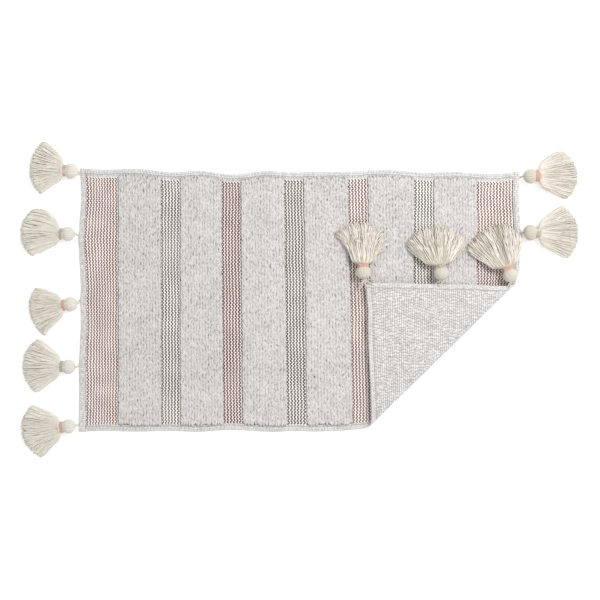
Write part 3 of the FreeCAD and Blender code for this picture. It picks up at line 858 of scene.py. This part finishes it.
# How far each tassel lies from its place in the CAD model, as its cord isn't quite straight: (out, across).
NUDGES = {
    "left_1": (-5.5, -2.3), "left_2": (0, -2.9), "left_3": (-3, 4.7), "left_4": (0, 2.7), "left_5": (0, 1),
    "right_1": (0, 1.7), "right_2": (0, 1.7), "right_3": (-4.5, 0.7), "right_4": (-4.7, -0.3),
    "right_5": (-6.5, 9.5),
}
NECK_X, NECK_RADIUS, NECK_Z = 31.0, 10.0, 3.5
REST_Z = -10.0  # what the tassel lies on, in its own frame
HEAD_RADIUS, HEAD_MIDDLE = 14.3, 15.0
HEAD_RIBS = 27
HEAD_SIZES = {"left_1": 1.08, "right_2": 1.1}  # heads that are bigger than the rest
STRANDS, STRAND_RINGS, STRAND_SIDES = 420, 20, 5
STRAND_RADIUS = 0.74
BUNDLE = 5  # strands that hang together and share a tone


def wildness(name):
    """The turned-over corner's tassels were tossed back, and lie rougher than the rest."""
    return 1.0 if name in FLAP_TASSELS else 0.3


def painted_shade(name):
    """How much darker a tassel's yarn is painted: shade on the right-hand tassels, which lie nearest the key
    light.
    """
    if name in FLAP_TASSELS:
        return 0.17
    return 0.22 if name.startswith("right") else 0.0


def fan(t, share, shoulder):
    """How far a strand has spread at t along it. The skirt swells past the band, then widens evenly."""
    even = 1 - (1 - t) ** (1 + 0.45 * (shoulder - 1) * share)
    return even + 0.31 * (1 - np.exp(-t / 0.055)) * (1 - t) ** 2


def skirt_strands(name):
    """Paths of the skirt's strands in the tassel's frame, fanned out flat from the neck."""
    reach, plus, minus, _ = SKIRTS[name]
    draw = generator(name)
    wild = wildness(name)
    lateral = (np.arange(STRANDS) + draw.uniform(0, 1, STRANDS)) / STRANDS * 2 - 1
    layer = draw.permutation((np.arange(STRANDS) + 0.5) / STRANDS)
    share = abs(lateral)
    end_x, end_y, shoulder = (np.where(lateral > 0, a, b) for a, b in zip(plus, minus))
    tip_x = reach - (reach - end_x) * share**2.3 - draw.gamma(1.2, 1.4 + 3.4 * wild, STRANDS)
    tip_y = np.sign(lateral) * end_y * share + draw.normal(0, 1.0, STRANDS) * 5 * (wild - 0.3) * (1 - share)
    tip_z = REST_Z + 1.0 + 8.0 * layer * (1 - 0.55 * share**4) + draw.normal(0, 0.3, STRANDS)
    neck_y = lateral * NECK_RADIUS
    neck_z = NECK_Z + (2 * layer - 1) * NECK_RADIUS * np.sqrt(np.clip(1 - lateral**2, 0, 1))
    t = np.linspace(0, 1, STRAND_RINGS)[None] ** 1.25
    spread = fan(t, share[:, None], shoulder[:, None])
    seed = len(name) * 11 + letters(name)
    strand = 0 * t + np.arange(STRANDS)[:, None]
    clump = noise(9 * lateral[:, None] + 30 + 0 * t, 2.2 * t + 4 * layer[:, None], 1.0, seed)
    own = noise(strand + 40, 3 * t, 1.0, seed + 1)
    kink = noise(strand + 90, 8 * t, 1.0, seed + 3)
    x = NECK_X + (tip_x[:, None] - NECK_X) * t + 1.6 * wild * kink * t
    sway = (1.6 + 2.9 * wild) * clump + (0.4 + 4.6 * wild) * own + 3.0 * (wild - 0.25) * kink
    calm = 1 - 0.6 * share[:, None] ** 2
    y = neck_y[:, None] + (tip_y - neck_y)[:, None] * spread + sway * calm * t**0.8
    fall = t ** (0.85 + 0.3 * (1 - layer[:, None]))
    z = neck_z[:, None] + (tip_z - neck_z)[:, None] * fall
    lift = noise(7 * lateral[:, None] + 0 * t, 3 * t + 9, 1.0, seed + 2) + 0.8 * kink
    z = z + (0.8 + 1.4 * wild) * lift * np.sin(math.pi * t**1.5) * layer[:, None]
    return xyz(x, y, np.maximum(z, REST_Z + STRAND_RADIUS))


def make_skirt(name):
    """The skirt's strands, thinner at their tips and each with its own tone."""
    paths = skirt_strands(name)
    t = np.linspace(0, 1, STRAND_RINGS)
    radii = STRAND_RADIUS * (0.75 + 0.35 * ease(3 * t)) * (1 - 0.45 * ease((t - 0.93) / 0.07))
    # each strand's own tone, less the painted shade of the right-hand tassels
    tones = generator(name + "_tone").uniform(0.6, 1, STRANDS) - painted_shade(name)
    bundle = cell_noise(np.arange(STRANDS) // BUNDLE, 7, len(name) + letters(name))
    tones += (bundle - 0.5) * 1.1 * (wildness(name) - 0.25)
    return tubes(paths, radii[None] * (1 + 0.2 * wildness(name)), STRAND_SIDES, tones)


def make_skirt_core(name):
    """A thin bed of yarn under the strands, so that no gap shows the floor. Its upper face is painted darker,
    as shade in the gaps between the strands.
    """
    reach, plus, minus, _ = SKIRTS[name]
    lateral, t = np.meshgrid(np.linspace(-0.97, 0.97, 41), np.linspace(0, 0.93, 15), indexing="ij")
    share = abs(lateral)
    end_x, end_y, shoulder = (np.where(lateral > 0, a, b) for a, b in zip(plus, minus))
    tip_x = reach - 3 - (reach - end_x) * share**2.3
    spread = fan(t, share, shoulder)
    x = NECK_X - 2 + (tip_x - NECK_X) * t
    neck_y = lateral * (NECK_RADIUS - 1)
    y = neck_y + (np.sign(lateral) * (end_y - 2) * share - neck_y) * spread
    thick = (NECK_RADIUS - 1) * np.sqrt(1 - lateral**2) * (1 - t) + 1.2
    middle = NECK_Z * (1 - t) ** 1.1 + (REST_Z + 2.6) * (1 - (1 - t) ** 1.1)
    points, faces, _ = closed(x, y, middle + thick, np.maximum(middle - 0.45 * thick, REST_Z + 1.2))
    yarn = xyz(0 * points[:, 0] + 1, 0 * points[:, 0], points[:, 1])
    # painted shade: the bed's upper face is darker, most of all under the turned-over corner's rougher
    # tassels
    tone = np.concatenate([np.full(x.size, 0.75 - 0.6 * wildness(name)), np.full(x.size, 0.7)])
    return points, faces, yarn, tone


def make_head(name):
    """The round head and the neck under the band, ribbed by the strands that run over it."""
    seed = 60 + letters(name)
    size = HEAD_SIZES.get(name, 1.0)
    x = np.concatenate([np.linspace(0.4, 5, 8), np.linspace(6, 35, 30)])
    ball = HEAD_RADIUS * np.sqrt(np.clip(1 - ((x - HEAD_MIDDLE) / 15.4) ** 2, 0, 1))
    ball = ball * (0.5 + 0.5 * ease((x + 2) / 6))
    neck = NECK_RADIUS + (HEAD_RADIUS - NECK_RADIUS) * np.cos(np.clip((x - 16) / 10, 0, 1) * math.pi / 2) ** 2
    radius = np.where(x < HEAD_MIDDLE, ball, neck)
    angle = np.linspace(0, TURN, 108, endpoint=False)
    a, r = np.meshgrid(angle, radius)
    xs = np.broadcast_to(x[:, None], a.shape)
    drift = 0.25 * noise(4 * np.cos(a) + 20, xs / 6, 1.0, seed)
    ribs = np.cos(HEAD_RIBS * (a + drift * 0.4))
    lumps = noise(3 * np.cos(a) + 9, 3 * np.sin(a) + xs / 9, 1.0, seed + 1)
    r = np.minimum(r * size * (1 + 0.03 * ribs + 0.03 * lumps), HEAD_RADIUS * size)
    middle = NECK_Z - 2.4 * np.clip(1 - xs / 7, 0, 1) ** 2
    points = xyz(xs, r * np.cos(a), middle + r * np.sin(a))
    points[..., 2] = np.maximum(points[..., 2], REST_Z + 0.02)
    rows, columns = a.shape
    k = np.arange(rows * columns).reshape(rows, columns)
    k_next = np.roll(k, -1, axis=1)
    faces = np.stack([k[:-1], k_next[:-1], k_next[1:], k[1:]], axis=-1).reshape(-1, 4).tolist()
    faces += [k[0, ::-1].tolist(), k[-1].tolist()]
    yarn = xyz(np.cos(HEAD_RIBS * a), np.sin(HEAD_RIBS * a), xs).reshape(-1, 3)
    # the tone is painted shade: darker in the grooves between the ribs and paler on them, less the painted
    # shade of the right-hand tassels
    return points.reshape(-1, 3), faces, yarn, (0.62 + 0.16 * ribs - painted_shade(name)).reshape(-1)


BAND_START, BAND_RADIUS, BAND_THREAD = 25.2, 10.6, 0.82
BAND_LENGTHS = {"left": 5.4, "right": 7.4}


def make_band(name):
    """The wound binding: a few turns of thread, a knot and its two short ends."""
    draw = generator(name + "_band")
    length = BAND_LENGTHS[name.split("_")[0]]
    turns = round(length)
    t = np.linspace(0, 1, turns * 40 + 1)
    angle = TURN * turns * t + draw.uniform(0, TURN)
    tilt = draw.uniform(-0.1, 0.1)
    radius = BAND_RADIUS + 0.25 * np.sin(3 * angle + 1)
    y, z = radius * np.cos(angle), radius * np.sin(angle)
    x = BAND_START + length * t + tilt * y + 0.2 * np.sin(2.3 * angle)
    coil = xyz(x, y, NECK_Z + z)[None]
    parts = [tubes(coil, BAND_THREAD, 8, [0.6], up=(1.0, 0.0, 0.0))]
    knot_angle = draw.uniform(0.9, 2.2)
    knot_y, knot_z = (BAND_RADIUS + 1) * math.cos(knot_angle), (BAND_RADIUS + 1) * math.sin(knot_angle)
    knot = np.array([BAND_START + 2.3, knot_y, NECK_Z + knot_z])
    loop = TURN * np.linspace(0, 1, 25)
    ring = knot + xyz(1.9 * np.cos(loop), 1.1 * np.sin(loop), 0.6 * np.sin(2 * loop))
    parts.append(tubes(ring[None], 0.85, 8, [0.9]))
    s = np.linspace(0, 1, 8)[:, None]
    for sign in (-1, 1):
        away = np.array([3.2 * sign + 0.8, 3.4 * sign, -1.0])
        end = knot + s * away + np.array([0, 0, 0.5]) * np.sin(math.pi * s)
        parts.append(tubes(end[None], 0.7, 7, [0.9]))
    return joined(parts)


CORD_INSIDE, CORD_INSIDE_FLAP = 5.5, 9.0  # how far a cord runs on inside the hem
CORD_TWIST = 7  # the mm in which its two plies go once round each other
PLY_RADIUS, PLY_OFF = 0.95, 0.85  # a ply's own radius, and how far it lies from the cord's middle


def cord_middle(place, inside):
    """The cord's line from inside the hem, through its stitch, to the point of the head."""
    stitch = place.local(place.stitch)
    start = stitch + np.array([-inside, 0, 0.3])
    head_z = -2.2 if stitch[2] < -5 else -0.6
    knots = np.array([start, stitch + np.array([-1.5, 0, 0.8]), [-1.2, 0, head_z], [2.6, 0, 1.2]])
    t = np.linspace(0, 1, 34)
    steps = np.concatenate([[0], np.cumsum(np.linalg.norm(np.diff(knots, axis=0), axis=1))])
    line = np.stack([np.interp(t * steps[-1], steps, knots[:, k]) for k in range(3)], axis=-1)
    for _ in range(12):
        line[1:-1] = (line[:-2] + 2 * line[1:-1] + line[2:]) / 4
    return line, steps[-1]


def make_cord(name, place):
    """Two plies of yarn twisted round each other, with the knot where the cord is sewn to the hem."""
    line, length = cord_middle(place, CORD_INSIDE_FLAP if name in FLAP_TASSELS else CORD_INSIDE)
    t = np.linspace(0, 1, len(line))
    side, over = np.array([0, 1.0, 0]), np.array([0.35, 0, 0.94])
    plies = []
    for start in (0, math.pi):
        angle = (TURN * length / CORD_TWIST * t + start)[:, None]
        plies.append(line + PLY_OFF * (np.cos(angle) * side + np.sin(angle) * over))
    parts = [tubes(np.array(plies), PLY_RADIUS, 8, [0.9, 0.6])]
    centre = line[len(line) // 2 - 4]
    loop = TURN * np.linspace(0, 1, 22)
    wrap = centre + xyz(0.5 * np.sin(loop), 1.75 * np.cos(loop), 1.6 * np.sin(loop) + 0.1)
    parts.append(tubes(wrap[None], 0.8, 8, [0.8], up=(1.0, 0.0, 0.0)))
    if name in FLAP_TASSELS:
        parts += loose_ends(name)
    return joined(parts)


LOOSE_RADIUS = 0.9
# Loose thread ends at the flap's tassels, in the tassel's frame: (reach out, reach across) of each end.
LOOSE_ENDS = {
    "right_5": ((-24, 19), (-17, 9), (-20, -2), (-12, -12), (-13, -19), (-9, -17), (-23, 13), (-6, 12)),
    "right_4": ((-9, 12), (-12, 7), (-10, -9), (-7, -13), (-6, 15)),
    "right_3": ((-10, 10), (-12, -4), (-8, 14)),
}


def loose_ends(name):
    """The frayed thread ends at one of the turned-over corner's cords."""
    draw = generator(name + "_ends")
    ends = np.array(LOOSE_ENDS[name], float)
    t = np.linspace(0, 1, 12)[None, :, None]
    start = np.array([0.5, 0, 1.6]) + draw.normal(0, 0.5, (len(ends), 3))
    target = np.column_stack([ends, draw.uniform(0.3, 1.2, len(ends))])
    curve = draw.normal(0, 2.6, (len(ends), 3)) * (1, 1, 0) + (0, 0, 1.6)
    paths = start[:, None] + (target - start)[:, None] * t + curve[:, None] * np.sin(math.pi * t)
    radii = LOOSE_RADIUS * (1 - 0.3 * t[..., 0])
    return [tubes(paths, radii, 6, draw.uniform(0.6, 1, len(ends)))]


def make_tassel(name):
    """One tassel: its cord on the hanger, and its yarn and band on the body that lifts."""
    place, colour = Place(name), SKIRTS[name][3]
    body = f"tassel_{name}"
    yarn = joined([make_head(name), make_skirt(name), make_skirt_core(name)])
    for suffix, parts, slot, material, ride_on in (
            ("yarn", yarn, "tassel_yarn", TASSEL_YARN, body),
            ("band", make_band(name), "band_" + colour, BANDS[colour], body),
            ("cord", make_cord(name, place), "tassel_cord", CORD_YARN, body + "_hanger")):
        points, faces, values, tone = parts
        points = place.world(points)
        attributes = {"yarn": values, "tone": tone, "flat": points}
        piece = new_piece(f"{body}_{suffix}_threads", points, faces, attributes)
        dress(piece, material, [f"{body}_{suffix}"])
        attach(piece, ride_on)
        if name in FLAP_TASSELS:
            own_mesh(piece)


# ---------- the whole mat

BAND_COLOURS = ("pink", "green", "pink", "green", "pink", "green", "pink")

for index in range(1, 7):
    make_pile(index)
for index, band_colour in enumerate(BAND_COLOURS, 1):
    make_stripe(index, band_colour)
cloth, flap_cloth = make_cloth()
hems = make_hems()
stitches = make_stitches()
for tassel_name in SKIRTS:
    make_tassel(tassel_name)


# ---------- floor, light and camera


def make_floor():
    """A wide pale floor, a hair below the mat."""
    mesh = bpy.data.meshes.new("floor")
    half = 20.0
    corners = [(-half, -half, 0), (half, -half, 0), (half, half, 0), (-half, half, 0)]
    mesh.from_pydata(corners, [], [(0, 1, 2, 3)])
    floor = link(bpy.data.objects.new("floor", mesh))
    floor.location.z = -0.0004
    g = Graph("floor_paint", 0.9, 0.0)
    set_inputs(g.surface, {"Base Color": (0.88, 0.88, 0.88, 1), "Specular IOR Level": 0.0,
                           "Emission Color": (1, 1, 1, 1), "Emission Strength": 0.35})
    mesh.materials.append(g.material)


def make_light(name, place, target, size, power, colour):
    """A round soft light that points at the target."""
    light = bpy.data.lights.new(name, "AREA")
    light.shape = "DISK"
    light.size = size
    light.energy = power
    light.color = colour
    lamp = link(bpy.data.objects.new(name, light))
    lamp.location = place
    away = lamp.location - mathutils.Vector(target)
    lamp.rotation_euler = away.to_track_quat("Z", "Y").to_euler()


def make_world(strength):
    """Even white light from all round."""
    world = bpy.data.worlds.new("studio")
    world.use_nodes = True
    set_inputs(world.node_tree.nodes["Background"], {"Color": (1, 1, 1, 1), "Strength": strength})
    bpy.context.scene.world = world


def make_camera(place):
    """A long lens high above the mat, looking straight down."""
    camera = bpy.data.cameras.new("camera")
    camera.lens = 100
    camera.sensor_width = 36
    camera.clip_end = 50
    eye = link(bpy.data.objects.new("camera", camera))
    eye.location = place
    bpy.context.scene.camera = eye


make_floor()
make_light("key", place=(1.45, 0.9, 2.4), target=(0.1, 0, 0), size=0.8, power=50, colour=(1.0, 0.993, 0.985))
make_world(strength=0.74)
make_camera(place=(0.001, 0.0015, 3.275))
bpy.context.scene.view_settings.view_transform = "Standard"
